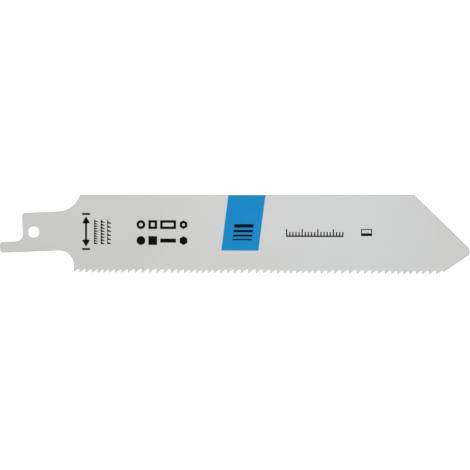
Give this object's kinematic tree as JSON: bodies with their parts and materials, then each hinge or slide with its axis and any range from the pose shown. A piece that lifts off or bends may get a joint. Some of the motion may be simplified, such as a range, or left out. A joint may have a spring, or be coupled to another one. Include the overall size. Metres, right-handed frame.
{
  "type": "reciprocating saw blade",
  "caption": "Flat steel blade for a reciprocating saw, with a canted tang and pin hole, a pointed nose, and a straight edge of set teeth whose pitch rises and falls.",
  "frame": {"origin": "centre of the pin hole in the tang, at half the blade's thickness", "axes": "+X along the back edge towards the nose, +Y towards the back edge, so the teeth point to -Y, +Z out of the printed side"},
  "size_m": [0.1524, 0.0254, 0.0018],
  "materials": {
    "blade_steel": "satin"
  },
  "bodies": {
    "root": {"saw_blade": "blade_steel"}
  },
  "joints": []
}
